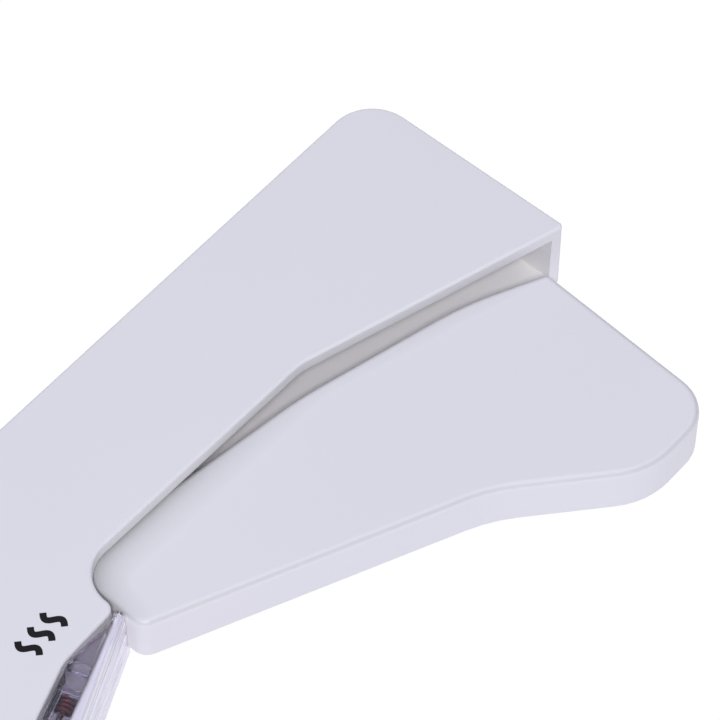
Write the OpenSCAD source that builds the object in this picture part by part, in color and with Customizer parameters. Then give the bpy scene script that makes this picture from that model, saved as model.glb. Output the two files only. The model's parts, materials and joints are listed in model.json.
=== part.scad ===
// Handheld bag heat sealer, lying on its side, in millimetres.
// +X runs along the handle, +Y points to the closed back of the casing, +Z is up.
// The pivot of the squeeze arm stands at x = 0.

/* [Casing] */
// Thickness of the casing, which is its height as it lies on its side
body_t = 15.4; // [15.4:0.2:16.4]
// Wall thickness of the casing
wall = 2.5; // [2.3:0.1:2.6]
// Distance from the pivot to the outside of the end wall
handle_len = 106.4; // [106.2:0.2:112]
// Distance from the pivot to the tip of the head
head_len = 106.5; // [106:0.5:112]
// Height of the straight back above the origin
back_y = 41.2; // [41:0.2:43]
// Radius of the curved back of the head
head_r = 172; // [168:1:176]
// Slope of the jaw line, falling towards the head's tip, in degrees
jaw_slope = 20; // [19.5:0.25:20.5]
// Radius of the rounded corner at the end of the back
end_corner_r = 8; // [4:0.5:10]

/* [Squeeze arm] */
// Height of the pivot above the origin
pivot_y = 10; // [9.9:0.1:10.1]
// Radius of the steel pivot pin
pin_r = 1.5; // [1.3:0.1:1.6]
// Thickness of the squeeze lever
lever_t = 9.4; // [9:0.1:9.6]
// Wall thickness of the lever moulding
lever_wall = 1.8; // [1.6:0.1:1.9]
// Free gap between parts that move past each other
gap = 0.3; // [0.25:0.05:0.35]

/* [Clear jaw] */
// Wall thickness of the clear jaw
jaw_wall = 2; // [1.8:0.1:2.1]
// Height of the clear jaw in the direction of the casing's thickness
jaw_t = 15.2; // [15:0.1:15.2]
// Length of the sealing face
seal_len = 83; // [78:1:83]

/* [Springs] */
// Outer radius of the return spring
spring_r = 3.6; // [3.2:0.1:3.8]
// Wire radius of the return spring
spring_wire_r = 0.45; // [0.4:0.05:0.5]
// Number of turns of the return spring
spring_turns = 8; // [6:1:9]

/* [Electrics] */
// Radius of the cord inlet's bore
inlet_r = 2.9; // [2.6:0.1:3]
// Radius of the indicator lens
lens_r = 1.8; // [1.5:0.1:2]
// Radius of an insulated lead
lead_r = 0.8; // [0.6:0.1:0.9]

/* [Hidden] */
$fn = 48;

eps = 0.01;
mid_z = body_t / 2;
inner_z0 = wall;
inner_z1 = body_t - wall;
pivot = [0, pivot_y];
jaw_root = [-7.2, 4.5];
head_start = 17;

// Outline points are [x, y, corner radius], counter-clockwise.
head_corner_x = head_start - head_r * tan(22.5);
casing_points = [
    [handle_len, -1.6, 0.8],
    [handle_len, back_y, end_corner_r],
    [head_corner_x, back_y, head_r],
    [-head_len, back_y - head_corner_x - head_len, 6],
    [-head_len, jaw_root[1] + tan(jaw_slope) * (-head_len - jaw_root[0]), 3],
    [jaw_root[0], jaw_root[1], 8],
    [4.9, 5, 2],
    [4.9, 14.2, 7.1],
    [57.4, 13.3, 10]
];
// The end, the back, the head's curve and its tip are walled; the rest is open for the arm.
open_edges = [0, 0, 0, 0, 1, 1, 1, 1, 1];

lever_points = [
    [98.9, -4.1, 1.5],
    [85, 2.6, 60],
    [54, 10.8, 60],
    [14, 17, 6],
    [5.9, 16.8, 4],
    [5.9, 0.9, 3],
    [60.5, -24.1, 30],
    [79.5, -41, 14],
    [96.2, -41, 7.5]
];

// Jaw outlines are in the jaw's own frame: x along the jaw line, y towards the casing.
jaw_points = [
    [-104, -6.3, 3.5],
    [-50, -7.3, 200],
    [-10, -6.6, 30],
    [13.1, -4.7, 0.3],
    [13, -3.75, 0.3],
    [11.4, -3.6, 0.5],
    [9.7, -3.8, 1],
    [8, -3.6, 0.8],
    [6.3, -2.8, 1],
    [0.5, -0.5, 2],
    [-104, -0.3, 0.8]
];
// Shallow flutes run along the jaw's outer wall between these heights above its lower face
flutes = [[2.6, 4.6], [6.6, 8.4], [10.4, 12.4]];
flute_depth = 0.15;
channel_points = [
    [-102, -4.4, 0.8],
    [-50, -5.3, 200],
    [-10, -4.6, 30],
    [8.5, -3.4, 0],
    [8.5, 3, 0],
    [-102, 3, 0]
];
jaw_ribs = [[-0.3, 1.6], [-3.9, 0.5], [-34, 1.2], [-62, 1.2], [-90, 1.2]];
jaw_rib_depth = 1;
// A low ridge runs along the inside of the upper cheek, near the sealing face
ridge_x = [-101, -2.9];
ridge_y = [-1.25, -0.7];
ridge_depth = 0.8;

screw_spots = [[98, 33], [58, 34], [13, 33], [-34, 25.5], [-91, -6.5], [-16, 15.5]];
boss_r = 3.4;
pivot_boss_r = 4.5;
screw_r = 1;
screw_head_r = 2.2;
screw_head_z = 3;
screw_head_h = 1.5;

frame_t = 6.8;
washer_t = 0.4;
arm_t = 5.4;
lever_screw_spots = [[27, 3.5], [70, -1.5]];
small_screw_r = 0.75;
jaw_screw_x = [-94, -48, -15.5];
jaw_screw_y = -3.15;
front_arm_z = [mid_z + 0.3, mid_z + 4.5];
arm_back = -4.2;
arm_face = -1.9;
band_coil_x = -7.35;
band_coil_y = -2.5;
band_coil_r = 0.95;
band_wire_r = 0.35;
band_coil_z = mid_z + jaw_t / 2 - jaw_wall - band_coil_r - band_wire_r - 0.1;
seal_x1 = -13.5;
seal_x0 = seal_x1 - seal_len;
holder_screw_x = [seal_x0 + 12, seal_x1 - 12];

spring_x = 30;
spring_peg_r = 2.3;
arm_top_y = 12.6;
spring_seat_y = 15;
spring_top_y = back_y - wall - 0.1;

buffer_x = 69;
buffer_face_y = 23.9;
// End of the clear jaw's upper cheek, along the jaw
upper_cheek_x = 10.8;

inlet_angle = 116.6;
switch_angle = 102.5;
lamp_spot = [-64, 3];
board_z = 4;
terminal_x = [-45.5, -38.5];
terminal_y = 12.9;

// ---- Geometry helpers ----

function unit(v) = v / norm(v);
function xy(p) = [p[0], p[1]];
function turned(v, a) = [v[0] * cos(a) - v[1] * sin(a), v[0] * sin(a) + v[1] * cos(a)];
function arc_step(r) = min(7.5, 3.5 / r * 180 / PI);

// The arc that rounds corner b between its neighbours a and c
function corner_arc(a, b, c) =
    let (
        u = unit(xy(a) - xy(b)),
        v = unit(xy(c) - xy(b)),
        half = acos(u * v) / 2,
        side = sign(u[1] * v[0] - u[0] * v[1]),
        centre = xy(b) + unit(u + v) * b[2] / sin(half),
        start = xy(b) + u * b[2] / tan(half) - centre,
        turn = 180 - 2 * half,
        steps = ceil(turn / arc_step(b[2]))
    )
    [for (i = [0:steps]) centre + turned(start, side * turn * i / steps)];

function rounded(p) = [
    for (i = [0:len(p) - 1])
        each p[i][2] < 0.05
            ? [xy(p[i])]
            : corner_arc(p[(i + len(p) - 1) % len(p)], p[i], p[(i + 1) % len(p)])
];

// Moves edge i of an outline inwards by d[i]; corners between equal distances stay round
function inset(p, d) = [
    for (i = [0:len(p) - 1])
        let (
            n = len(p),
            j = (i + n - 1) % n,
            e1 = unit(xy(p[i]) - xy(p[j])),
            e2 = unit(xy(p[(i + 1) % n]) - xy(p[i])),
            det = e1[0] * e2[1] - e1[1] * e2[0],
            move = (d[j] * e2 - d[i] * e1) / det
        )
        [p[i][0] + move[0], p[i][1] + move[1], d[i] == d[j] ? max(0, p[i][2] - sign(det) * d[i]) : 0]
];
function by_edge(closed, open) = [for (o = open_edges) o == 1 ? open : closed];

module slab(points, z0, z1) {
    translate([0, 0, z0]) linear_extrude(z1 - z0) polygon(rounded(points));
}

// A rectangular block from x0 to x1, y0 to y1 and z0 to z1
module block(x, y, z) {
    translate([x[0], y[0], z[0]]) cube([x[1] - x[0], y[1] - y[0], z[1] - z[0]]);
}

module post(spot, r, z0, z1) {
    translate([spot[0], spot[1], z0]) cylinder(r = r, h = z1 - z0);
}

module in_jaw_frame() {
    translate([jaw_root[0], jaw_root[1], 0]) rotate(jaw_slope) children();
}

// Places its children on the head's curved back, with y pointing outwards
module on_back(angle) {
    translate([head_start, back_y - head_r, mid_z]) rotate(angle - 90) translate([0, head_r, 0]) children();
}

// Points towards +Y from the XZ plane
module along_y() {
    rotate([-90, 0, 0]) children();
}

module pan_screw(spot, r, head_r, head_h, z0, length) {
    slot_w = head_r * 0.3;
    slot_l = head_r * 1.3;
    difference() {
        union() {
            post(spot, head_r, z0, z0 + head_h);
            post(spot, r, z0 + head_h - eps, z0 + head_h + length);
        }
        translate([spot[0], spot[1], z0 + head_h * 0.3])
            for (a = [0, 90]) rotate(a) cube([slot_l, slot_w, head_h * 0.6 + eps], center = true);
    }
}

// A ring of points around path point i, square to the path in plan
function ring(path, i, r, z, sides) =
    let (
        a = path[max(0, i - 1)],
        b = path[min(len(path) - 1, i + 1)],
        t = unit(b - a)
    )
    [for (k = [0:sides - 1])
        let (q = 360 * k / sides)
        [path[i][0] - t[1] * r * cos(q), path[i][1] + t[0] * r * cos(q), z + r * sin(q)]];

// A wire that lies at height z along an open path of [x, y, bend radius] points
module wire(p, r, z) {
    sides = 8;
    last = len(p) - 1;
    path = [xy(p[0]), for (i = [1:last - 1]) each corner_arc(p[i - 1], p[i], p[i + 1]), xy(p[last])];
    n = len(path);
    polyhedron(
        points = [for (i = [0:n - 1]) each ring(path, i, r, z, sides)],
        faces = [
            [for (k = [0:sides - 1]) k],
            for (i = [0:n - 2]) for (k = [0:sides - 1])
                let (m = (k + 1) % sides)
                [i * sides + k, (i + 1) * sides + k, (i + 1) * sides + m, i * sides + m],
            [for (k = [sides - 1:-1:0]) (n - 1) * sides + k]
        ]
    );
}

// ---- Casing ----

module casing_bottom() {
    cavity = inset(casing_points, by_edge(wall, -3));
    rib_spots = [38, 47, 80, 89];
    rib_t = 1.2;
    pocket_y = [26.5, 31.6];
    color("white") difference() {
        union() {
            difference() {
                slab(casing_points, 0, inner_z1);
                slab(cavity, inner_z0, inner_z1 + 1);
            }
            for (s = screw_spots) post(s, boss_r, inner_z0 - eps, mid_z);
            post(pivot, pivot_boss_r, inner_z0 - eps, mid_z - frame_t / 2 - gap - washer_t);
            // Spring peg on the back wall
            translate([spring_x, back_y - wall - 4, mid_z]) along_y() cylinder(r = spring_peg_r, h = 4 + eps);
            // Ribs behind the lever bay
            for (x = rib_spots) block([x, x + rib_t], [32, back_y - wall + eps], [inner_z0 - eps, mid_z]);
            // Pocket that holds the stop buffer
            block([buffer_x - 5.6, buffer_x + 5.6], pocket_y, [inner_z0 - eps, mid_z]);
            // Pegs under the indicator board
            for (x = [-7, 7]) post(lamp_spot + [x, 0], 1.6, inner_z0 - eps, board_z);
        }
        for (s = screw_spots) {
            post(s, screw_head_r + 0.3, -eps, screw_head_z);
            post(s, screw_r + 0.2, 0, mid_z + eps);
        }
        post(pivot, pin_r, 1, mid_z);
        block([buffer_x - 4.1, buffer_x + 4.1], [pocket_y[0] - eps, pocket_y[1] - 1.5], [inner_z0, mid_z + eps]);
        on_back(inlet_angle) translate([0, -wall - 1, 0]) along_y() cylinder(r = inlet_r + 1.5, h = wall + 2);
        on_back(switch_angle) block([-5.2, 5.2], [-wall - 1, 1], [-2.2, 2.2]);
    }
}

module casing_top() {
    lip_gap = 0.15;
    lip_w = 1.2;
    lip_h = 1.5;
    lip_outer = inset(casing_points, by_edge(wall + lip_gap, 0.8));
    lip_inner = inset(casing_points, by_edge(wall + lip_gap + lip_w, -3));
    color("white") difference() {
        union() {
            slab(casing_points, inner_z1, body_t);
            difference() {
                slab(lip_outer, inner_z1 - lip_h, inner_z1 + eps);
                slab(lip_inner, inner_z1 - lip_h - 1, inner_z1);
                // The lip stops short of the lever's path, the inlet and the switch
                block([90, handle_len], [-5, 12], [inner_z1 - lip_h - 1, inner_z1]);
                on_back(inlet_angle) block([-6.5, 6.5], [-8, 1], [0, inner_z1 - mid_z]);
                on_back(switch_angle) block([-10, 10], [-8, 1], [0, inner_z1 - mid_z]);
            }
            for (s = screw_spots) post(s, boss_r - 0.4, mid_z, inner_z1 + eps);
            post(pivot, pivot_boss_r, mid_z + frame_t / 2 + gap + washer_t, inner_z1 + eps);
        }
        for (s = screw_spots) post(s, screw_r + 0.02, mid_z - eps, inner_z1 + 0.6);
        post(pivot, pin_r, mid_z, body_t - 1);
        post(lamp_spot, lens_r, mid_z, body_t + 1);
    }
}

module casing_screws() {
    length = 9;
    color("silver") for (s = screw_spots)
        pan_screw(s, screw_r, screw_head_r, screw_head_h, screw_head_z - screw_head_h, length);
}

module pivot_pin() {
    color("silver") post(pivot, pin_r, 1, body_t - 1);
}

module pivot_washers() {
    color("ivory") for (z = [mid_z - frame_t / 2 - gap - washer_t, mid_z + frame_t / 2 + gap])
        difference() {
            post(pivot, 4, z, z + washer_t);
            post(pivot, pin_r + 0.03, z - 1, z + 2);
        }
}

module stop_buffer() {
    color("dimgray") slab([
        [buffer_x + 4, buffer_face_y, 1.2],
        [buffer_x + 4, 30, 0.4],
        [buffer_x - 4, 30, 0.4],
        [buffer_x - 4, buffer_face_y, 1.2]
    ], inner_z0, inner_z1 - 1.4);
}

// ---- Squeeze arm ----

module rocker_frame() {
    rear_arm = [
        [86, -6, 3], [80, 2, 6], [36, arm_top_y - 0.3, 20], [25, arm_top_y, 20], [9, 13.6, 3], [3, 13, 1],
        [3, 5.9, 0.6], [8.4, 5.9, 0.3], [11.5, 1.9, 1], [36, -5, 20], [80, -14, 4]
    ];
    gusset = [
        [4.6, 11, 1], [-4.6, 11, 1], [-5.4, 7, 2], [-9, 2.6, 0], [-8.2, 1.5, 0], [-0.1, 4.1, 0], [1.9, 4.7, 0.3],
        [3.8, 6, 0.8]
    ];
    windows = [[16, 8, 3], [45, 3, 4.5], [57, 0.8, 4.5]];
    // Fills the clear jaw's channel between the sealing pad and the pivot
    core = [
        [-11.6, -0.9, 0.4], [-11.6, -4.1, 0.4], [-2, -3.9, 10], [8.3, -3.25, 0.1], [8.3, -3.05, 0.1], [6.2, -2.2, 1],
        [3.2, -0.9, 1]
    ];
    core_t = 8.6;
    color("dimgray") difference() {
        union() {
            post(pivot, 5, mid_z - frame_t / 2, mid_z + frame_t / 2);
            slab(gusset, mid_z - frame_t / 2, mid_z + frame_t / 2);
            slab(rear_arm, mid_z - arm_t / 2, mid_z + arm_t / 2);
            in_jaw_frame() {
                block([seal_x0 - 2, -4.2], [arm_back, arm_face], front_arm_z);
                slab(core, mid_z - core_t / 2, mid_z + core_t / 2);
                for (x = jaw_screw_x)
                    post([x, jaw_screw_y], 1.2, mid_z - jaw_t / 2 + jaw_wall + 0.05, front_arm_z[0] + 1);
            }
            // Seat and peg of the return spring
            block([spring_x - 3, spring_x + 3], [arm_top_y - 1, spring_seat_y], [mid_z - arm_t / 2, mid_z + arm_t / 2]);
            translate([spring_x, spring_seat_y - 1, mid_z]) along_y() cylinder(r = spring_peg_r, h = 4);
        }
        post(pivot, pin_r + 0.8, 0, body_t);
        for (w = windows) post(w, w[2], 0, body_t);
        for (s = lever_screw_spots) post(s, screw_r + 0.02, 0, mid_z + arm_t / 2 - 1);
        in_jaw_frame() {
            for (x = jaw_screw_x) post([x, jaw_screw_y], small_screw_r + 0.02, 0, front_arm_z[0] + 2.5);
            // Room for the release band's tab, the band spring's hook and its coil
            block([-12.8, -11.55], [arm_back - 1, 0], [mid_z + 1, body_t]);
            block([-11.6, -7.5], [band_coil_y - 0.5, band_coil_y + 0.5], [mid_z + 1, body_t]);
            block([-7.55, -4.15], [arm_back - 1, 0], [mid_z + 1, body_t]);
        }
    }
}

module pivot_bush() {
    color("goldenrod") difference() {
        post(pivot, pin_r + 0.8, mid_z - frame_t / 2, mid_z + frame_t / 2);
        post(pivot, pin_r + 0.03, 0, body_t);
    }
}

module squeeze_lever() {
    // The side that faces the casing is open
    pocket = inset(lever_points, [-3, -3, -3, 2, 2, 2, 2, 2, 2]);
    pocket_z = [mid_z - lever_t / 2 + lever_wall, mid_z + lever_t / 2 - lever_wall];
    color("white") difference() {
        slab(lever_points, mid_z - lever_t / 2, mid_z + lever_t / 2);
        slab(pocket, pocket_z[0], pocket_z[1]);
        // The frame enters through the root
        block([0, 9], [4.8, 20], pocket_z);
        for (s = lever_screw_spots) {
            post(s, screw_head_r, 0, mid_z - lever_t / 2 + 0.9);
            post(s, screw_r + 0.2, 0, mid_z);
        }
    }
}

module lever_screws() {
    head_h = 0.8;
    color("silver") for (s = lever_screw_spots)
        pan_screw(s, screw_r, screw_head_r - 0.2, head_h, mid_z - lever_t / 2 + 0.1, 5.2);
}

module clear_jaw() {
    z0 = mid_z - jaw_t / 2;
    z1 = mid_z + jaw_t / 2;
    fit = 0.1;
    color([0.85, 0.84, 0.95, 0.5]) in_jaw_frame() difference() {
        union() {
            difference() {
                slab(jaw_points, z0, z1);
                slab(channel_points, z0 + jaw_wall, z1 - jaw_wall);
                for (f = flutes) difference() {
                    block([-101, 14], [-9, -2], [z0 + f[0], z0 + f[1]]);
                    slab(inset(jaw_points, [flute_depth, flute_depth, flute_depth, for (i = [3:len(jaw_points) - 1]) 0]), 0, body_t);
                }
            }
            for (r = jaw_ribs) intersection() {
                slab(jaw_points, z0, z1);
                block([r[0], r[0] + r[1]], [-8, 2], [z1 - jaw_wall - jaw_rib_depth, z1 - jaw_wall + eps]);
            }
            block(ridge_x, ridge_y, [z1 - jaw_wall - ridge_depth, z1 - jaw_wall + eps]);
        }
        // The upper cheek ends before the lever
        block([upper_cheek_x, 14], [-8, 0], [mid_z + lever_t / 2 + fit, z1 + 1]);
        // Room beside the lever's root
        rotate(-jaw_slope) translate([-jaw_root[0], -jaw_root[1], 0]) slab(
            inset(lever_points, [for (p = lever_points) -fit]),
            mid_z - lever_t / 2 - fit, mid_z + lever_t / 2 + fit
        );
        for (x = jaw_screw_x) {
            post([x, jaw_screw_y], 1.6, z0 - 1, z0 + 1);
            post([x, jaw_screw_y], small_screw_r + 0.15, z0 - 1, mid_z);
        }
    }
}

module jaw_screws() {
    color("silver") in_jaw_frame() for (x = jaw_screw_x)
        pan_screw([x, jaw_screw_y], small_screw_r, 1.45, 0.9, mid_z - jaw_t / 2 + 0.1, 8);
}

module silicone_pad() {
    color("darkslategray") in_jaw_frame()
        block([seal_x0, seal_x1], [arm_face, -0.6], [mid_z - 4, mid_z + 4]);
}

module release_band() {
    band_t = 0.25;
    color("tan") in_jaw_frame() {
        block([seal_x0 - 1.5, seal_x1 + 1.2], [-0.6, -0.6 + band_t], [mid_z - 4, mid_z + 4]);
        // Tab that the band spring pulls
        block([seal_x1 + 1.2 - eps, seal_x1 + 1.4], [-3.1, -0.6 + band_t], [mid_z + 1.4, mid_z + 4]);
    }
}

// Closed rings stand for the turns of a close-wound spring, whose hook reaches the band's tab
module band_spring() {
    pitch = 0.8;
    sleeve = 0.1;
    hook_r = 0.25;
    hook_l = 5;
    color("brown") in_jaw_frame() translate([band_coil_x + band_wire_r, band_coil_y, band_coil_z])
        rotate([0, 90, 0]) union() {
            for (i = [0:3]) translate([0, 0, i * pitch - eps]) rotate_extrude($fn = 32)
                translate([band_coil_r, 0]) circle(r = band_wire_r, $fn = 16);
            translate([0, 0, -sleeve]) difference() {
                cylinder(r = band_coil_r + sleeve, h = 3 * pitch + 2 * sleeve, $fn = 32);
                translate([0, 0, -1]) cylinder(r = band_coil_r - sleeve, h = 6, $fn = 32);
            }
            translate([band_coil_r, 0, -hook_l]) cylinder(r = hook_r, h = hook_l, $fn = 16);
        }
}

module return_spring() {
    length = spring_top_y - spring_seat_y - 0.1;
    pitch = (length - 2 * spring_wire_r) / spring_turns;
    coil_r = spring_r - spring_wire_r;
    tube_w = 0.2;
    color("silver") translate([spring_x, spring_seat_y + 0.1, mid_z]) along_y() union() {
        for (i = [0:spring_turns]) translate([0, 0, spring_wire_r + i * pitch]) rotate_extrude()
            translate([coil_r, 0]) circle(r = spring_wire_r, $fn = 16);
        // Two thin bars join the turns of this simplified coil
        for (a = [0, 180]) rotate(a) translate([coil_r - tube_w / 2, -tube_w / 2, spring_wire_r])
            cube([tube_w, tube_w, spring_turns * pitch]);
    }
}

// ---- Heater ----

module heater_holder() {
    slot_y = 4.6;
    color("dimgray") in_jaw_frame() difference() {
        block([seal_x0 - 1, seal_x1 + 1], [0.6, 9], [inner_z0 + 0.1, inner_z1 - 0.1]);
        block([seal_x0, seal_x1], [0, slot_y + 2], [mid_z - 3.6, mid_z + 3.6]);
        for (x = holder_screw_x) translate([x, 0, mid_z]) along_y() cylinder(r = 1.1, h = 12);
    }
}

module heating_bar() {
    color("silver") in_jaw_frame() difference() {
        block([seal_x0 + 0.5, seal_x1 - 0.5], [0.3, 4.4], [mid_z - 3.4, mid_z + 3.4]);
        for (x = holder_screw_x) translate([x, 1.6, mid_z]) along_y() cylinder(r = 1.02, h = 8);
    }
}

module heating_element() {
    color("peru") in_jaw_frame()
        block([seal_x0 + 16, seal_x1 - 16], [4.4, 6.2], [mid_z - 2.6, mid_z + 2.6]);
}

module ptfe_cover() {
    cover_z = [mid_z - 4.6, mid_z + 4.6];
    color("burlywood") in_jaw_frame() union() {
        block([seal_x0 + 0.2, seal_x1 - 0.2], [0.05, 0.3], cover_z);
        for (z = cover_z) block([seal_x0 + 0.2, seal_x1 - 0.2], [0.05, 0.6], [z - 0.12, z + 0.12]);
    }
}

module holder_screws() {
    head_h = 1.2;
    color("silver") in_jaw_frame() for (x = holder_screw_x)
        translate([x, 9 + head_h, mid_z]) rotate([90, 0, 0]) pan_screw([0, 0], 1, 2, head_h, 0, 6.6);
}

module thermostat() {
    color("black") in_jaw_frame() union() {
        block([-46, -38], [9.05, 13], [mid_z - 3.2, mid_z + 3.2]);
        for (x = [-47.5, -38 - eps]) block([x, x + 1.5 + eps], [10.6, 11.1], [mid_z - 1.2, mid_z + 1.2]);
    }
}

module thermal_fuse() {
    color("beige") in_jaw_frame() translate([-76, 10.4, mid_z]) rotate([0, 90, 0]) union() {
        cylinder(r = 1.3, h = 9);
        translate([0, 0, -3]) cylinder(r = 0.35, h = 15);
    }
}

// ---- Electrics in the head ----

module indicator_board() {
    board_t = 1.2;
    color("green") union() {
        block(
            [lamp_spot[0] - 9, lamp_spot[0] + 9], [lamp_spot[1] - 5, lamp_spot[1] + 5],
            [board_z, board_z + board_t]
        );
        for (x = [-6, 4]) block(
            [lamp_spot[0] + x, lamp_spot[0] + x + 3.4], [lamp_spot[1] - 3.4, lamp_spot[1] - 1.6],
            [board_z + board_t - eps, board_z + board_t + 1.2]
        );
    }
}

module indicator_lamp() {
    color("tomato") union() {
        post(lamp_spot, 1.5, board_z + 1.2, inner_z1 - 2.4);
        translate([lamp_spot[0], lamp_spot[1], inner_z1 - 2.4]) sphere(r = 1.5);
    }
}

module indicator_lens() {
    color("red") union() {
        post(lamp_spot, lens_r - 0.02, inner_z1 + 0.1, body_t - 0.1);
        post(lamp_spot, lens_r + 0.7, inner_z1 - 0.7, inner_z1);
        post(lamp_spot, lens_r - 0.05, inner_z1 - eps, inner_z1 + 0.2);
    }
}

module terminal_block() {
    block_y = [terminal_y - 4.3, terminal_y + 4.3];
    color("ivory") difference() {
        block([-49, -35], block_y, [inner_z0, mid_z + 3]);
        for (x = terminal_x) {
            post([x, terminal_y], 1.6, mid_z + 0.6, body_t);
            translate([x, block_y[0] - 0.4, mid_z - 1]) along_y() cylinder(r = 1.1, h = 10);
        }
    }
}

module terminal_screws() {
    color("gold") for (x = terminal_x) difference() {
        post([x, terminal_y], 1.5, mid_z + 0.6, mid_z + 2.6);
        translate([x, terminal_y, mid_z + 2.5]) cube([4, 0.5, 1.2], center = true);
    }
}

module switch_body() {
    color("black") on_back(switch_angle) union() {
        block([-8.5, 8.5], [-wall - 6.6, -wall - 0.6], [-4, 4]);
        for (x = [-5.5, 0, 5.5]) block([x - 0.4, x + 0.4], [-wall - 10, -wall - 6.6 + eps], [-1.2, 1.2]);
    }
}

module switch_slider() {
    color("black") on_back(switch_angle) union() {
        block([-5, -1], [-wall - 0.3, 1.2], [-2, 2]);
        for (x = [-4.4, -3, -1.6]) block([x - 0.3, x + 0.3], [1.2 - eps, 1.6], [-2, 2]);
    }
}

module cord_gland() {
    color("dimgray") on_back(inlet_angle) translate([0, -wall - 1.6, 0]) along_y() rotate_extrude() polygon([
        [inlet_r, 0], [inlet_r + 2, 0], [inlet_r + 2, 1.3], [inlet_r + 1.45, 1.3], [inlet_r + 1.45, wall + 2],
        [inlet_r + 2.2, wall + 2], [inlet_r + 1.6, wall + 5], [inlet_r, wall + 5]
    ]);
}

module live_leads() {
    z = mid_z - 1;
    color("firebrick") union() {
        // From the terminal block to the switch, and from the switch to the thermostat
        wire([[-38.5, 17.3, 0], [-38.5, 20.7, 2.5], [-22.3, 20.7, 1.5], [-22.95, 23.3, 0]], lead_r, z);
        wire([[-17.5, 24.4, 0], [-20.4, 17.4, 4], [-27, 10, 4], [-34, 7.2, 4], [-43.6, 3.9, 0]], lead_r, z);
    }
}

module neutral_leads() {
    color("royalblue") wire([
        [-45.5, 17.3, 0], [-45.5, 19.8, 1.5], [-52.5, 18.5, 2.5], [-54, 12, 3], [-74, 12, 6], [-84.2, -2, 5],
        [-84.6, -11.4, 0]
    ], lead_r, mid_z - 1);
}

casing_bottom();
casing_top();
casing_screws();
pivot_pin();
pivot_washers();
stop_buffer();
rocker_frame();
pivot_bush();
squeeze_lever();
lever_screws();
clear_jaw();
jaw_screws();
silicone_pad();
release_band();
band_spring();
return_spring();
heater_holder();
heating_bar();
heating_element();
ptfe_cover();
holder_screws();
thermostat();
thermal_fuse();
indicator_board();
indicator_lamp();
indicator_lens();
terminal_block();
terminal_screws();
switch_body();
switch_slider();
cord_gland();
live_leads();
neutral_leads();
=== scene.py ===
"""Looks of the handheld bag heat sealer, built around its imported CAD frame. Units are metres."""
import json
import math

import bmesh
import bpy
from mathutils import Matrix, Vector


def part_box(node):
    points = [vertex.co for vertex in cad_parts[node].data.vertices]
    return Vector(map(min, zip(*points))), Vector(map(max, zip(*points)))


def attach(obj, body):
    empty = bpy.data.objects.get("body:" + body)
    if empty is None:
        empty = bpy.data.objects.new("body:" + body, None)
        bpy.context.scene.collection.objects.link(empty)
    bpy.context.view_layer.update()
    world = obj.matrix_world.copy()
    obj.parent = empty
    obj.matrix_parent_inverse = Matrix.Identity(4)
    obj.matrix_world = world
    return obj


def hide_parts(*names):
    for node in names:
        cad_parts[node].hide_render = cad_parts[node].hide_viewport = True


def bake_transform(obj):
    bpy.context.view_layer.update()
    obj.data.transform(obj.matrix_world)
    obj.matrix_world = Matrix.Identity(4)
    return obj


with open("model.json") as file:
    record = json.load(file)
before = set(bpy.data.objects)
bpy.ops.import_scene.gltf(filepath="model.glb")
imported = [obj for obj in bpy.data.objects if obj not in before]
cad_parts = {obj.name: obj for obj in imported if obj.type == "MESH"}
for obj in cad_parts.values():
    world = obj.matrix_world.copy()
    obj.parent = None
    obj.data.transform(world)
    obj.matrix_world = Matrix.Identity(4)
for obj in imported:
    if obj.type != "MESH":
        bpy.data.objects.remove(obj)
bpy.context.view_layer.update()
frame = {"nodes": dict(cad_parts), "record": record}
MM = 0.001
NODES = frame["nodes"]
NODE_SLOT = {part["node"]: part["material_slot"] for part in frame["record"]["subparts"]}

CASING_LOW, CASING_HIGH = [Vector(v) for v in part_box("casing_bottom")]
TOP_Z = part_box("casing_top")[1][2]
LEVER_LOW, LEVER_HIGH = [Vector(v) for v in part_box("squeeze_lever")]
JAW_LOW, JAW_HIGH = [Vector(v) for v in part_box("clear_jaw")]


# ---------------------------------------------------------------- camera, floor and light

def look_at(obj, target):
    obj.rotation_euler = (Vector(target) - obj.location).to_track_quat("-Z", "Y").to_euler()


def make_camera():
    """Looks down on the handle end from the side of the jaws, as the photographer stood"""
    azimuth = math.radians(-49.4)
    elevation = math.radians(55.5)
    distance = 608 * MM
    target = Vector((64.1 * MM, 6.5 * MM, TOP_Z))
    away = Vector((
        math.sin(azimuth) * math.cos(elevation),
        -math.cos(azimuth) * math.cos(elevation),
        math.sin(elevation),
    ))
    data = bpy.data.cameras.new("camera")
    data.lens = 190
    data.sensor_width = 36
    data.clip_start = 0.01
    data.clip_end = 20
    camera = bpy.data.objects.new("camera", data)
    bpy.context.collection.objects.link(camera)
    camera.location = target + away * distance
    look_at(camera, target)
    bpy.context.scene.camera = camera


def area_light(name, place, aim, size, power, colour):
    data = bpy.data.lights.new(name, "AREA")
    data.shape = "DISK"
    data.size = size
    data.energy = power
    data.color = colour
    light = bpy.data.objects.new(name, data)
    bpy.context.collection.objects.link(light)
    light.location = place
    look_at(light, aim)


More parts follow.
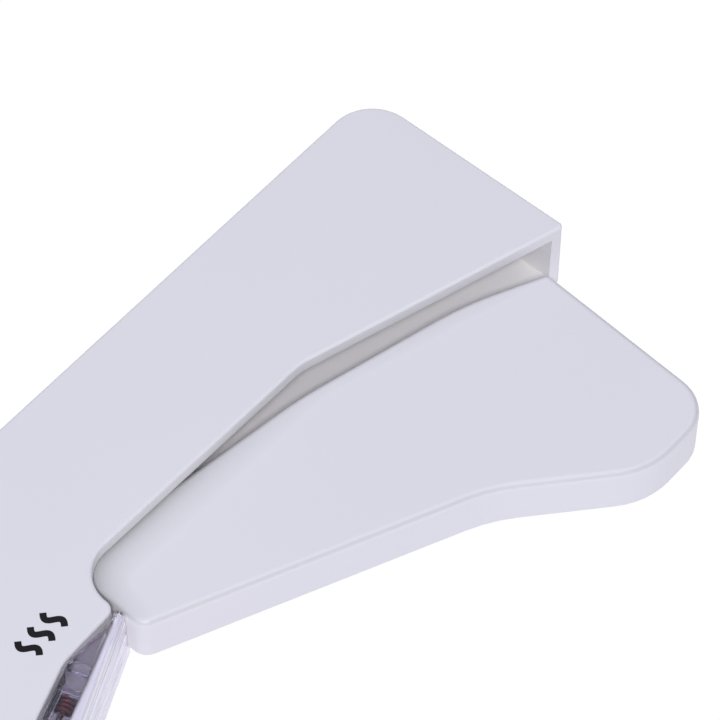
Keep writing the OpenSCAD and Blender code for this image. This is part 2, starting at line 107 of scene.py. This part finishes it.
def make_floor():
    """A light table: pure white to the eye, but weaker and cooler as a lamp under the part"""
    seen_white = (1.03, 1.03, 1.03, 1)
    lamp_white = (0.66, 0.66, 0.86, 1)
    gap_under_part = 0.05 * MM
    bpy.ops.mesh.primitive_plane_add(size=6, location=(0, 0, -gap_under_part))
    floor = bpy.context.object
    floor.name = "floor"
    table = bpy.data.materials.new("light_table")
    table.use_nodes = True
    nodes, links = table.node_tree.nodes, table.node_tree.links
    nodes.clear()
    path = nodes.new("ShaderNodeLightPath")
    shade = nodes.new("ShaderNodeMix")
    shade.data_type = "RGBA"
    shade.inputs["A"].default_value = seen_white
    shade.inputs["B"].default_value = lamp_white
    links.new(path.outputs["Is Diffuse Ray"], shade.inputs["Factor"])
    glow = nodes.new("ShaderNodeEmission")
    links.new(shade.outputs["Result"], glow.inputs["Color"])
    output = nodes.new("ShaderNodeOutputMaterial")
    links.new(glow.outputs["Emission"], output.inputs["Surface"])
    floor.data.materials.append(table)


def make_studio():
    """The light table in a pale blue room, under a strong lamp in front and a weak one overhead"""
    scene = bpy.context.scene
    scene.view_settings.view_transform = "Standard"
    scene.view_settings.look = "None"
    world = bpy.data.worlds.new("studio")
    world.use_nodes = True
    scene.world = world
    background = world.node_tree.nodes["Background"]
    background.inputs["Color"].default_value = (0.8, 0.84, 1.1, 1)
    background.inputs["Strength"].default_value = 0.38
    make_floor()
    aim = (0.06, 0.01, 0)
    area_light("front", (-1.03, -0.89, 2.0), aim, size=0.35, power=30, colour=(0.9, 0.9, 0.98))
    area_light("overhead", (0.1, 0.2, 1.5), aim, size=0.9, power=2.2, colour=(0.84, 0.86, 1))


# ---------------------------------------------------------------- materials

class Shader:
    """A material with one Principled shader, whose nodes are added by short calls"""

    def __init__(self, name, colour, roughness, **sockets):
        self.material = bpy.data.materials.new(name)
        self.material.use_nodes = True
        self.tree = self.material.node_tree
        self.bsdf = self.tree.nodes["Principled BSDF"]
        self.colour = colour
        self.roughness = roughness
        self.bsdf.inputs["Base Color"].default_value = (*colour, 1)
        self.bsdf.inputs["Roughness"].default_value = roughness
        for socket, value in sockets.items():
            self.bsdf.inputs[socket.replace("_", " ")].default_value = value
        self.place = self.node("ShaderNodeTexCoord").outputs["Object"]
        self.relief = None

    def node(self, kind, **values):
        made = self.tree.nodes.new(kind)
        for key, value in values.items():
            setattr(made, key, value)
        return made

    def link(self, source, target):
        self.tree.links.new(source, target)

    def combine(self, operation, a, b, **values):
        """Arithmetic on a and b, each a number or another node's output"""
        made = self.node("ShaderNodeMath", operation=operation, **values)
        for socket, value in enumerate((a, b)):
            if isinstance(value, (int, float)):
                made.inputs[socket].default_value = value
            else:
                self.link(value, made.inputs[socket])
        return made.outputs["Value"]

    def mapped(self, value, old, new):
        """Carries the range old over to the range new, easing in and out"""
        made = self.node("ShaderNodeMapRange", interpolation_type="SMOOTHSTEP")
        made.inputs["From Min"].default_value, made.inputs["From Max"].default_value = old
        made.inputs["To Min"].default_value, made.inputs["To Max"].default_value = new
        self.link(value, made.inputs["Value"])
        return made.outputs["Result"]

    def part_along(self, axis):
        """How far along this axis a point of the surface lies"""
        made = self.node("ShaderNodeVectorMath", operation="DOT_PRODUCT")
        self.link(self.place, made.inputs[0])
        made.inputs[1].default_value = axis
        return made.outputs["Value"]

    def facing_up(self):
        """1 where the surface is level, 0 where it is upright"""
        parts = self.node("ShaderNodeSeparateXYZ")
        self.link(self.node("ShaderNodeNewGeometry").outputs["Normal"], parts.inputs["Vector"])
        return parts.outputs["Z"]

    def noise(self, per_mm, detail, stretch=(1, 1, 1), place=None):
        """Noise with this many features to a millimetre, finer along an axis with a larger stretch"""
        mapping = self.node("ShaderNodeMapping")
        mapping.inputs["Scale"].default_value = stretch
        self.link(place or self.place, mapping.inputs["Vector"])
        made = self.node("ShaderNodeTexNoise")
        made.inputs["Scale"].default_value = per_mm / MM
        made.inputs["Detail"].default_value = detail
        self.link(mapping.outputs["Vector"], made.inputs["Vector"])
        return made.outputs["Fac"]

    def vary_colour(self, fac, other, low=0.3, high=0.7):
        ramp = self.node("ShaderNodeValToRGB")
        ramp.color_ramp.elements[0].position = low
        ramp.color_ramp.elements[0].color = (*self.colour, 1)
        ramp.color_ramp.elements[1].position = high
        ramp.color_ramp.elements[1].color = (*other, 1)
        self.link(fac, ramp.inputs["Fac"])
        self.link(ramp.outputs["Color"], self.bsdf.inputs["Base Color"])

    def mix_colour(self, share, first, second):
        """Colours the surface first where share is 0 and second where it is 1. The first may be a
        colour or another node's output."""
        made = self.node("ShaderNodeMix", data_type="RGBA")
        self.link(share, made.inputs["Factor"])
        if isinstance(first, tuple):
            made.inputs["A"].default_value = (*first, 1)
        else:
            self.link(first, made.inputs["A"])
        made.inputs["B"].default_value = (*second, 1)
        self.link(made.outputs["Result"], self.bsdf.inputs["Base Color"])

    # Paints shade into the colour: mixes this share of black into it
    def mix_in_painted_shade(self, share):
        self.mix_colour(share, self.bsdf.inputs["Base Color"].links[0].from_socket, (0, 0, 0))

    def paint_shade_beside_walls(self, reach_mm, amount, most):
        """Paints shade on upward faces where a wall stands right beside them, never darker than most: an
        occlusion node darkens the colour where the lamps would leave shade
        """
        openness = self.node("ShaderNodeAmbientOcclusion", samples=8)
        openness.inputs["Distance"].default_value = reach_mm * MM
        closed = self.combine("SUBTRACT", self.facing_up(), openness.outputs["AO"], use_clamp=True)
        self.mix_in_painted_shade(self.combine("MINIMUM", self.combine("MULTIPLY", closed, amount), most))

    def paint_shade_on_rounded_edges(self, amount):
        """Paints shade on edges where they roll over from level to upright"""
        roll = self.node("ShaderNodeValToRGB")
        ramp = roll.color_ramp
        ramp.interpolation = "EASE"
        upright, level = ramp.elements
        upright.position = 0.2
        level.position = 0.995
        level.color = (0, 0, 0, 1)
        ramp.elements.new(0.78).color = (amount, amount, amount, 1)
        self.link(self.facing_up(), roll.inputs["Fac"])
        self.mix_in_painted_shade(roll.outputs["Color"])

    def vary_roughness(self, fac, amount):
        spread = self.node("ShaderNodeMapRange")
        spread.inputs["To Min"].default_value = self.roughness - amount
        spread.inputs["To Max"].default_value = self.roughness + amount
        self.link(fac, spread.inputs["Value"])
        self.link(spread.outputs["Result"], self.bsdf.inputs["Roughness"])

    def bump(self, fac, depth_mm, strength):
        """Adds relief of this depth; calls stack"""
        made = self.node("ShaderNodeBump")
        made.inputs["Strength"].default_value = strength
        made.inputs["Distance"].default_value = depth_mm * MM
        self.link(fac, made.inputs["Height"])
        if self.relief:
            self.link(self.relief, made.inputs["Normal"])
        self.relief = made.outputs["Normal"]
        self.link(self.relief, self.bsdf.inputs["Normal"])


def moulded_plastic(name, colour, roughness, other, grain=0.02, shade=0, **sockets):
    """Injection-moulded plastic with a fine eroded grain and a slow cloudiness. With some shade it is
    darker beside walls and along its rounded upper edges: painted shade, mixed into its colour."""
    s = Shader(name, colour, roughness, **sockets)
    s.vary_colour(s.noise(0.03, 2), other)
    # Painted shade: the colour darkens beside walls and on rounded edges, where lamps would shade them
    if shade:
        s.paint_shade_beside_walls(reach_mm=6, amount=shade, most=0.42)
        s.paint_shade_on_rounded_edges(0.17 * shade)
    s.vary_roughness(s.noise(0.15, 2), 0.05)
    s.bump(s.noise(5, 2), grain, 0.15)
    s.bump(s.noise(0.08, 1), 0.05, 0.05)
    return s.material


def clear_plastic(name, colour, roughness, clarity):
    """Tinted moulding that lets part of the light through"""
    s = Shader(name, colour, roughness, IOR=1.5)
    s.bsdf.inputs["Transmission Weight"].default_value = clarity
    s.vary_roughness(s.noise(0.2, 3), 0.02)
    s.bump(s.noise(1.5, 2), 0.01, 0.08)
    return s.material


def jaw_axes():
    """Along the jaw line towards the pivot, and across it towards the casing"""
    slope = math.radians(20)
    return Vector((math.cos(slope), math.sin(slope), 0)), Vector((-math.sin(slope), math.cos(slope), 0))


def jaw_plastic(name, colour, roughness, wall_colour):
    """Clear lavender moulding. Its thick outer wall is cloudy, in streaks that run along the jaw."""
    s = Shader(name, colour, roughness, IOR=1.5)
    along, across = jaw_axes()
    corners = [v.co for v in NODES["clear_jaw"].data.vertices]
    casing_side = max(v.dot(across) for v in corners)
    root_end = max(v.dot(along) for v in corners)

    # Near the root the wall's inner face leans across the jaw; further out it is straight
    lean = 0.045
    leaning_face = casing_side - lean * root_end - 3.9 * MM
    straight_face = casing_side - 4.6 * MM
    blur = 0.3 * MM
    in_wall = s.combine(
        "MAXIMUM",
        s.mapped(s.part_along(across - lean * along), (leaning_face - blur, leaning_face + blur), (1, 0)),
        s.mapped(s.part_along(across), (straight_face - blur, straight_face + blur), (1, 0)),
    )

    in_jaw_frame = s.node("ShaderNodeCombineXYZ")
    for socket, axis in zip("XYZ", (along, across, (0, 0, 1))):
        s.link(s.part_along(axis), in_jaw_frame.inputs[socket])
    streak = s.noise(0.8, 3, (0.05, 1, 1), in_jaw_frame.outputs["Vector"])

    least_cloud = 0.75
    wall_roughness = 0.15
    s.mix_colour(in_wall, colour, wall_colour)
    cloud = s.combine("MULTIPLY", in_wall, s.mapped(streak, (0.35, 0.65), (least_cloud, 1)))
    s.link(s.combine("SUBTRACT", 1, cloud), s.bsdf.inputs["Transmission Weight"])
    added_roughness = s.combine("MULTIPLY", in_wall, wall_roughness)
    s.link(s.combine("ADD", added_roughness, roughness), s.bsdf.inputs["Roughness"])
    s.bump(streak, 0.06, 0.12)
    s.bump(s.noise(1.5, 2), 0.01, 0.05)
    return s.material


def metal(name, colour, roughness, stretch=(1, 1, 1)):
    """Plain or plated metal with faint stains; a stretch draws its scratches out into lines"""
    s = Shader(name, colour, roughness, Metallic=1)
    s.vary_colour(s.noise(0.4, 3), tuple(c * 0.86 for c in colour))
    s.vary_roughness(s.noise(1.2, 3, stretch), 0.08)
    s.bump(s.noise(4, 2, stretch), 0.01, 0.25)
    return s.material


def soft_rubber(name, colour, roughness):
    """Rubber, silicone or wire insulation: a matt skin with small pits"""
    s = Shader(name, colour, roughness)
    s.vary_colour(s.noise(0.6, 3), tuple(c * 1.5 + 0.01 for c in colour))
    s.vary_roughness(s.noise(0.5, 2), 0.08)
    s.bump(s.noise(3, 3), 0.03, 0.3)
    return s.material


def coated_cloth(name, colour, other):
    """Glass cloth under a brown non-stick coating: a fine plain weave"""
    s = Shader(name, colour, 0.45)
    s.bsdf.inputs["Coat Weight"].default_value = 0.25
    threads = []
    for direction in ("X", "Y"):
        wave = s.node("ShaderNodeTexWave", bands_direction=direction)
        wave.inputs["Scale"].default_value = 0.35 / MM
        wave.inputs["Distortion"].default_value = 0.6
        s.link(s.place, wave.inputs["Vector"])
        threads.append(wave.outputs["Fac"])
    weave = s.combine("MULTIPLY", *threads)
    s.vary_colour(weave, other, 0, 0.9)
    s.bump(weave, 0.04, 0.4)
    return s.material


WHITE = (0.93, 0.91, 0.865)
WHITE_CLOUD = (0.92, 0.902, 0.86)
MATERIALS = {
    "white_abs": moulded_plastic("white_abs", WHITE, 0.42, WHITE_CLOUD),
    # The lever carries painted shade beside the casing's walls and on its rounded edges
    "lever_abs": moulded_plastic("lever_abs", WHITE, 0.38, WHITE_CLOUD, 0.012, shade=1),
    "clear_pc": jaw_plastic("clear_pc", (0.96, 0.94, 1.0), 0.05, (0.98, 0.94, 1)),
    "dark_nylon": moulded_plastic("dark_nylon", (0.54, 0.49, 0.52), 0.55, (0.57, 0.52, 0.55), 0.04),
    "steel": metal("steel", (0.62, 0.62, 0.64), 0.3),
    "brass": metal("brass", (0.75, 0.55, 0.24), 0.28),
    "nylon": moulded_plastic("nylon", (0.8, 0.77, 0.7), 0.45, (0.76, 0.73, 0.65)),
    "rubber": soft_rubber("rubber", (0.03, 0.03, 0.032), 0.6),
    "silicone": soft_rubber("silicone", (0.09, 0.085, 0.1), 0.5),
    "ptfe": coated_cloth("ptfe", (0.25, 0.14, 0.07), (0.42, 0.26, 0.14)),
    "copper_wire": metal("copper_wire", (0.34, 0.13, 0.12), 0.35),
    "aluminium": metal("aluminium", (0.75, 0.75, 0.76), 0.32, (1, 12, 12)),
    "mica": moulded_plastic("mica", (0.45, 0.36, 0.24), 0.5, (0.55, 0.45, 0.3), 0.05),
    "black_plastic": moulded_plastic(
        "black_plastic", (0.012, 0.01, 0.01), 0.5, (0.018, 0.016, 0.016), 0.03, Specular_IOR_Level=0.2
    ),
    "glass_fuse": moulded_plastic("glass_fuse", (0.75, 0.72, 0.64), 0.3, (0.7, 0.66, 0.58)),
    "board": moulded_plastic("board", (0.02, 0.16, 0.06), 0.35, (0.03, 0.2, 0.08)),
    "lamp": moulded_plastic("lamp", (0.7, 0.06, 0.04), 0.3, (0.6, 0.05, 0.03), 0.01),
    "lens": clear_plastic("lens", (0.85, 0.06, 0.05), 0.15, 0.45),
    "red_wire": soft_rubber("red_wire", (0.45, 0.03, 0.03), 0.5),
    "blue_wire": soft_rubber("blue_wire", (0.03, 0.08, 0.35), 0.5),
}


def paint(obj, slot):
    obj.data.materials.clear()
    obj.data.materials.append(MATERIALS[slot])


# ---------------------------------------------------------------- mesh work

def finish_normals(obj):
    for face in obj.data.polygons:
        face.use_smooth = True
    weighted = obj.modifiers.new("weighted_normals", "WEIGHTED_NORMAL")
    weighted.weight = 80
    weighted.keep_sharp = True


def add_piece(name, bm, body, slot, replaces=()):
    """Adds a mesh that rides on a body, or on none, in the material of a slot"""
    mesh = bpy.data.meshes.new(name)
    bm.to_mesh(mesh)
    bm.free()
    obj = bpy.data.objects.new(name, mesh)
    bpy.context.collection.objects.link(obj)
    mesh.materials.append(MATERIALS[slot])
    if body:
        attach(obj, body)
    if replaces:
        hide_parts(*replaces)
    return obj


def softened(node, body, rules):
    """A copy of a CAD node with clean flat faces and rounded edges. Each rule is (test of an edge's
    middle and the edge, radius in mm, segments); an edge takes the first rule whose test it meets."""
    sharp = math.radians(32)
    bm = bmesh.new()
    bm.from_mesh(NODES[node].data)
    bmesh.ops.remove_doubles(bm, verts=bm.verts, dist=0.002 * MM)
    bmesh.ops.dissolve_limit(bm, angle_limit=math.radians(0.4), verts=bm.verts, edges=bm.edges)
    for test, radius, segments in rules:
        chosen = []
        for edge in bm.edges:
            middle = (edge.verts[0].co + edge.verts[1].co) / 2
            if len(edge.link_faces) == 2 and edge.calc_face_angle(0) > sharp and test(middle, edge):
                chosen.append(edge)
        if chosen:
            bmesh.ops.bevel(
                bm, geom=chosen, offset=radius * MM, segments=segments,
                profile=0.5, affect="EDGES", clamp_overlap=True,
            )
    for edge in bm.edges:
        edge.smooth = len(edge.link_faces) == 2 and edge.calc_face_angle(0) < sharp
    finish_normals(add_piece(node + "_moulding", bm, body, NODE_SLOT[node], [node]))


def near(value, target):
    reach = 0.05 * MM
    return abs(value - target) < reach


def flat_at(z):
    """Tests for edges that lie at height z"""
    return lambda middle, edge: near(edge.verts[0].co.z, z) and near(edge.verts[1].co.z, z)


def tube(path, radius, sides):
    """A closed round tube along a path of points"""
    bm = bmesh.new()
    rings = []
    side = None
    for i, point in enumerate(path):
        ahead = (path[min(i + 1, len(path) - 1)] - path[max(i - 1, 0)]).normalized()
        if side is None:
            side = ahead.orthogonal().normalized()
        side = (side - ahead * side.dot(ahead)).normalized()
        up = ahead.cross(side)
        rings.append([
            bm.verts.new(point + radius * (math.cos(a) * side + math.sin(a) * up))
            for a in (2 * math.pi * k / sides for k in range(sides))
        ])
    for low, high in zip(rings, rings[1:]):
        for k in range(sides):
            bm.faces.new((low[k], low[(k + 1) % sides], high[(k + 1) % sides], high[k]))
    bm.faces.new(reversed(rings[0]))
    bm.faces.new(rings[-1])
    for face in bm.faces:
        face.smooth = True
    return bm


def helix(start, axis, side, radius, length, turns, flat_turns=0):
    """Points of a helix along axis, whose first and last flat_turns don't climb"""
    points_per_turn = 28
    climbing_turns = turns - 2 * flat_turns
    up = axis.cross(side)
    points = []
    for i in range(round(turns * points_per_turn) + 1):
        turn = i / points_per_turn
        climbed = min(max(turn - flat_turns, 0), climbing_turns) / climbing_turns
        angle = 2 * math.pi * turn
        rise = length * climbed
        points.append(start + axis * rise + radius * (math.cos(angle) * side + math.sin(angle) * up))
    return points


# ---------------------------------------------------------------- pieces

def soften_mouldings():
    """Rounds the edges of the casing, the lever and the clear jaw as their moulds do"""
    seam_z = CASING_HIGH.z
    end_wall_x = CASING_HIGH.x - 3 * MM
    softened("casing_top", "casing", [
        (flat_at(TOP_Z), 0.7, 4),
        (flat_at(seam_z), 0.1, 2),
    ])
    softened("casing_bottom", "casing", [
        (flat_at(CASING_LOW.z), 0.5, 3),
        (flat_at(seam_z), 0.1, 2),
        (lambda m, e: m.x > end_wall_x and near(e.verts[0].co.x, e.verts[1].co.x), 0.15, 2),
    ])
    softened("squeeze_lever", "arm", [
        (flat_at(LEVER_HIGH.z), 1.2, 5),
        (flat_at(LEVER_LOW.z), 0.6, 4),
    ])
    softened("clear_jaw", "arm", [
        (lambda m, e: near(m.z, JAW_HIGH.z) or near(m.z, JAW_LOW.z), 0.4, 3),
    ])


def make_return_spring():
    """The compression spring between the casing and the arm, made at its rest length"""
    low, high = [Vector(v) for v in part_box("return_spring")]
    wire = 0.45 * MM
    radius = (high.x - low.x) / 2 - wire
    length = high.y - low.y - 2 * wire
    centre = (low + high) / 2
    start = Vector((centre.x, low.y + wire, centre.z))
    path = helix(start, Vector((0, 1, 0)), Vector((1, 0, 0)), radius, length, turns=10, flat_turns=1)
    spring = add_piece("return_spring_wire", tube(path, wire, 10), None, "steel", ["return_spring"])
    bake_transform(spring)


def make_band_spring():
    """The close-wound spring that keeps the release band taut, and its hook"""
    low, high = [Vector(v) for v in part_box("band_spring")]
    along, across = jaw_axes()
    wire = 0.33 * MM
    hook_wire = wire * 0.75
    length = 2.4 * MM
    hook_start = 0.4 * MM
    radius = (high.z - low.z) / 2 - wire
    points = [v.co for v in NODES["band_spring"].data.vertices]
    near_end = max(p.dot(along) for p in points) - wire
    far_end = min(p.dot(along) for p in points)
    offsets = [p.dot(across) for p in points]
    middle = (min(offsets) + max(offsets)) / 2
    axis = across * middle + Vector((0, 0, (low.z + high.z) / 2))
    path = helix(axis + along * (near_end - length), along, across, radius, length, turns=3.25)
    hook = [axis + along * (near_end - length - t) - Vector((0, 0, radius)) for t in (0, hook_start)]
    hook.append(axis + along * far_end - Vector((0, 0, radius)))
    add_piece("band_spring_wire", tube(path, wire, 10), "arm", "copper_wire", ["band_spring"])
    add_piece("band_spring_hook", tube(hook, hook_wire, 8), "arm", "copper_wire")


def make_heat_mark():
    """The printed mark beside the pivot: three upright waves in a row"""
    turn = math.radians(5.3)
    right = Vector((math.cos(turn), math.sin(turn), 0))
    up = Vector((-right.y, right.x, 0))
    ink_z = TOP_Z + 0.02 * MM
    corner = Vector((-10.4 * MM, 7.9 * MM, ink_z))
    half_stroke = 0.55 * MM
    height = 4.2 * MM
    swing = 0.75 * MM
    first_mm, pitch_mm = 1.5, 3.1
    steps = 24
    bm = bmesh.new()
    for wave in range(3):
        base = corner + right * (first_mm + pitch_mm * wave) * MM
        edge = []
        for i in range(steps + 1):
            t = i / steps
            point = base + up * height * t + right * swing * math.sin(2 * math.pi * t)
            slope = right * swing * 2 * math.pi * math.cos(2 * math.pi * t) + up * height
            normal = Vector((-slope.y, slope.x, 0)).normalized() * half_stroke
            edge.append((bm.verts.new(point + normal), bm.verts.new(point - normal)))
        for (a, b), (c, d) in zip(edge, edge[1:]):
            bm.faces.new((a, b, d, c))
    bmesh.ops.recalc_face_normals(bm, faces=bm.faces)
    if sum(face.normal.z for face in bm.faces) < 0:
        bmesh.ops.reverse_faces(bm, faces=bm.faces)
    add_piece("heat_mark", bm, "casing", "black_plastic")


# ---------------------------------------------------------------- assembly

make_camera()
make_studio()
for name, obj in NODES.items():
    paint(obj, NODE_SLOT[name])
soften_mouldings()
make_return_spring()
make_band_spring()
make_heat_mark()
